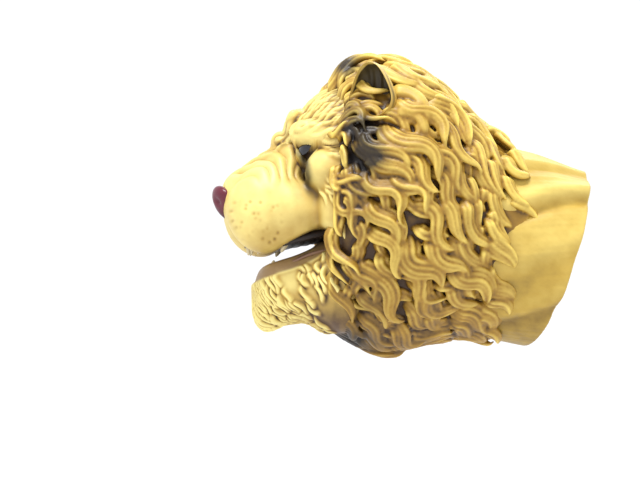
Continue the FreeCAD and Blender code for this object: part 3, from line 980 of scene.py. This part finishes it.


# Ivory paint with a light gloss, turning dark brown towards the gums.
ivory = painted_vinyl("tooth_ivory_paint", "4A3620", "AD9A70", "DACBA2", roughness=0.32)
for name, roots, tips, radii, bow, body in (
    ("upper_left_canine", [(15, -131.5, 12)], [(14, -133.0, 1.6)], [2.9], 1.2, "snout"),
    ("upper_right_canine", [(-15, -131.5, 12)], [(-14, -133.0, 1.6)], [2.9], 1.2, "snout"),
    ("lower_left_canine", [(10, -135.6, -10)], [(10.6, -136.2, -1.6)], [2.4], -0.6, "jaw"),
    ("lower_right_canine", [(-10, -135.6, -10)], [(-10.6, -136.2, -1.6)], [2.4], -0.6, "jaw"),
    (
        "upper_incisors",
        [(3.3 * k, -148 + 0.65 * k * k, 7) for k in (-2.5, -1.5, -0.5, 0.5, 1.5, 2.5)],
        [(3.3 * k, -147.6 + 0.65 * k * k, 1.2) for k in (-2.5, -1.5, -0.5, 0.5, 1.5, 2.5)],
        [1.4] * 6, 0.2, "snout",
    ),
    (
        "lower_incisors",
        [(3.1 * k, -140 + 0.6 * k * k, -11) for k in (-1.5, -0.5, 0.5, 1.5)],
        [(3.1 * k, -140.6 + 0.6 * k * k, -4.2) for k in (-1.5, -0.5, 0.5, 1.5)],
        [1.5] * 4, 0.0, "jaw",
    ),
):
    row = teeth(name + "_tooth", roots, tips, radii, bow)
    row.data.materials.append(ivory)
    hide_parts(name)
    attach(row, body)

# ---- nose ------------------------------------------------------------------------------------
# The nose leather is part of the skin: a wedge, broad at the top, with a nostril dent on each
# side and a groove down to the lip.
def nose_leather():
    """Ellipsoid turned round -Y, narrowed towards its foot and dented by three bells."""
    away = np.linspace(0, math.pi, 92)[1:-1, None]
    turn = np.linspace(0, 2 * math.pi, 120, endpoint=False)[None, :]
    across = np.sin(away) * np.sin(turn)
    up = np.sin(away) * np.cos(turn)
    front = np.cos(away) + 0 * turn
    narrow = 1 - 0.62 * smooth(0.35, -1.0, up)
    x = 9.6 * across * narrow * (1 + 0.15 * smooth(0.2, 0.8, up))
    z = 26.0 + 8.4 * up
    nostril = np.exp(-(((np.abs(x) - 4.6) / 1.7) ** 2) - ((z - 26.4) / 1.8) ** 2)
    groove = np.exp(-((x / 0.8) ** 2)) * smooth(27, 22, z)
    y = -158.8 - 5.4 * front - 0.34 * (z - 26) + (1.5 * nostril + 0.8 * groove) * (front > 0) + 0.02 * x * x
    return np.stack([x, y, z], -1)


nose = piece("nose_leather", tube_shells(nose_leather()[None]))
points, normals = read_points(nose)
keep_value(nose, "shade_and_wash", np.clip(0.5 - 0.5 * hollow(nose, points, normals, 8), 0, 1))
keep_value(nose, "dark_paint_and_shade", np.clip(0.5 * smooth(26, 18, points[:, 2]), 0, 1))
# Burgundy spray paint with a satin coat, with painted shade in the nostril dents, darker towards the lip.
nose.data.materials.append(
    painted_vinyl(
        "nose_burgundy_paint", "260B12", "5E1C2C", "8E3A4C", dark_paint_and_shade="1E0A10", roughness=0.3, grain_mm=0.8
    )
)
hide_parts("nose_pad")
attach(nose, "snout")

# ---- eyes ------------------------------------------------------------------------------------
# Blue-black domes set behind the lids, moulded in the skin and varnished, or pressed in from
# inside. They are the puppet's only hard, shiny spots.
# Acrylic gloss: near black, with a small sharp highlight.
glass = bpy.data.materials.new("eye_gloss_acrylic")
glass.use_nodes = True
shader = glass.node_tree.nodes["Principled BSDF"]
shader.inputs["Base Color"].default_value = linear("0B0D18")
shader.inputs["Roughness"].default_value = 0.08
shader.inputs["IOR"].default_value = 1.49
shader.inputs["Coat Weight"].default_value = 0.6
shader.inputs["Coat Roughness"].default_value = 0.04
for name in ("left_eye", "right_eye"):
    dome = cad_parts[name]
    dome.data.materials.clear()
    dome.data.materials.append(glass)

# ---- ears ------------------------------------------------------------------------------------
# Soft cups that open forward and outward, moulded in one with the head, with a thick rolled
# rim, a smooth pale back and dark paint deep inside.
def ear_cup(thick):
    """A bowl round an axis that points forward and out: rows run from the bowl's floor to the
    rim and back down outside, and the rim is a rounded triangle with its tip up."""
    turn = np.linspace(0, 2 * math.pi, 110, endpoint=False)[None, :]
    inside = np.linspace(0.02, 1, 40)[:, None]
    roll = np.linspace(0, math.pi, 9)[1:-1, None]
    outside = np.linspace(1, 0.02, 40)[:, None]
    share = np.concatenate([inside, 1 + 0 * roll, outside])
    lean = np.concatenate([0 * inside, (1 - np.cos(roll)) / 2, 1 + 0 * outside])
    wide = 10.6 - 1.8 * np.cos(turn) + 0.5 * np.cos(3 * turn)
    tall = 13.0 + 1.6 * np.cos(turn)
    grow = np.sin(share * math.pi / 2) ** 0.9
    u = grow * wide * np.sin(turn) * (1 + 0.05 * lean)
    v = grow * tall * np.cos(turn) * (1 + 0.05 * lean)
    depth = -9.5 * (1 - share**2.2) - lean * thick * (0.4 + 0.6 * share)
    depth = depth - 1.6 * np.abs(np.sin(turn)) ** 3 * share
    depth = depth + np.concatenate([0 * inside, np.sin(roll) * 0.9, 0 * outside])
    return u, v, depth


look = np.array([0.80, -0.60, 0.02])
look /= np.linalg.norm(look)
aside = np.cross(look, [0, 0, 1.0])
aside /= np.linalg.norm(aside)
upward = np.cross(aside, look)
u, v, depth = ear_cup(2.6)
rings = EAR_CENTRE + u[..., None] * aside + v[..., None] * upward + depth[..., None] * look
for name, sign in (("left_ear", 1), ("right_ear", -1)):
    ear = piece(name + "_cup", tube_shells((rings * np.array([sign, 1, 1]))[None]))
    points, normals = read_points(ear)
    folded = points * np.array([sign, 1, 1])
    from_centre = folded - EAR_CENTRE
    into = from_centre @ look
    facing = (normals * np.array([sign, 1, 1])) @ look
    ripple = 0.35 * np.sin((from_centre @ aside) * 1.5 + 0.15 * (from_centre @ upward))
    points = points + normals * (ripple * smooth(-0.2, 0.4, facing) * smooth(-1.5, -4, into))[:, None]
    write_points(ear, points)
    # Painted highlight on the ripples' crests, and darker towards the foot of the ear.
    keep_value(ear, "shade_and_wash", np.clip(0.66 + 0.1 * ripple - 0.25 * smooth(85, 64, folded[:, 2]), 0, 1))
    keep_value(ear, "dark_paint_and_shade", np.clip(1.3 * smooth(-0.1, 0.3, facing) * smooth(-1.6, -3.4, into), 0, 1))
    # Straw PVC, bare outside and on the rim with painted highlights on the ripples, darker towards its foot,
    # sprayed dark in the bowl.
    ear.data.materials.append(
        painted_vinyl(name + "_soft_pvc", "4E3516", "C8A650", "F0D680", dark_paint_and_shade="0F0A07")
    )
    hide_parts(name)
    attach(ear, "head")

# ---- studio ---------------------------------------------------------------------------------
# A round white sweep under two soft lamps. The head is held up on a hand, so it floats above
# the floor.
def sweep():
    """Round floor that curves up into a wall: a flat disc, a quarter circle, then straight up."""
    bend = np.linspace(0, math.pi / 2, 14)
    away = np.concatenate([[1.0, 700.0], 900 + 500 * np.sin(bend), [1400.0]])[:, None]
    high = np.concatenate([[0.0, 0.0], 500 - 500 * np.cos(bend), [2000.0]])[:, None] - 130
    turn = np.linspace(0, 2 * math.pi, 96, endpoint=False)[None, :]
    return np.stack([away * np.cos(turn), away * np.sin(turn), high + 0 * turn], -1)


ground = sweep()
rows, columns, _ = ground.shape
r, c = np.meshgrid(np.arange(rows - 1), np.arange(columns), indexing="ij")
after = (c + 1) % columns
quads = np.stack([r * columns + c, (r + 1) * columns + c, (r + 1) * columns + after, r * columns + after], -1)
mesh = bpy.data.meshes.new("studio_sweep")
polygons = quads.reshape(-1, 4).tolist() + [list(range(columns))]
mesh.from_pydata((ground.reshape(-1, 3) * MM).tolist(), [], polygons)
mesh.shade_smooth()
floor = bpy.data.objects.new("studio_sweep", mesh)
bpy.context.scene.collection.objects.link(floor)
# Matt white paper, lit a little from within so that it stays even behind the head.
paper = bpy.data.materials.new("white_paper")
paper.use_nodes = True
sheet = paper.node_tree.nodes["Principled BSDF"].inputs
sheet["Base Color"].default_value = linear("98999C")
sheet["Roughness"].default_value = 0.9
sheet["Emission Color"].default_value = linear("FFFFFF")
sheet["Emission Strength"].default_value = 0.66
floor.data.materials.append(paper)

target = np.array([0.0, -0.113, 0.009])


def lamp(name, place, size, power):
    """Square soft white lamp."""
    light = bpy.data.lights.new(name, "AREA")
    light.size = size
    light.energy = power
    thing = bpy.data.objects.new(name, light)
    bpy.context.scene.collection.objects.link(thing)
    thing.location = place
    return thing


def aim_at(thing, goal):
    """Turns an object so that its -Z looks at the goal."""
    thing.rotation_mode = "QUATERNION"
    thing.rotation_quaternion = (Vector(goal) - thing.location).to_track_quat("-Z", "Y")


for name, place, size, power in (
    ("key_lamp", (0.35, -0.3, 1.1), 0.4, 14.5),
    ("back_lamp", (-0.5, 0.3, 0.9), 0.6, 4.0),
):
    aim_at(lamp(name, place, size, power), target)

world = bpy.data.worlds.new("studio_air")
bpy.context.scene.world = world
world.use_nodes = True
world.node_tree.nodes["Background"].inputs["Color"].default_value = linear("FFFFFF")
world.node_tree.nodes["Background"].inputs["Strength"].default_value = 0.2
bpy.context.scene.view_settings.view_transform = "Standard"

eye = bpy.data.cameras.new("camera")
eye.sensor_width = 36.0
eye.lens = 76.0
camera = bpy.data.objects.new("camera", eye)
bpy.context.scene.collection.objects.link(camera)
CAMERA_AWAY = 0.65
azimuth = math.radians(83.0)
elevation = math.radians(-5.0)
level_away = math.cos(elevation)
back = [math.sin(azimuth) * level_away, -math.cos(azimuth) * level_away, math.sin(elevation)]
camera.location = target + CAMERA_AWAY * np.array(back)
aim_at(camera, target)
bpy.context.scene.camera = camera
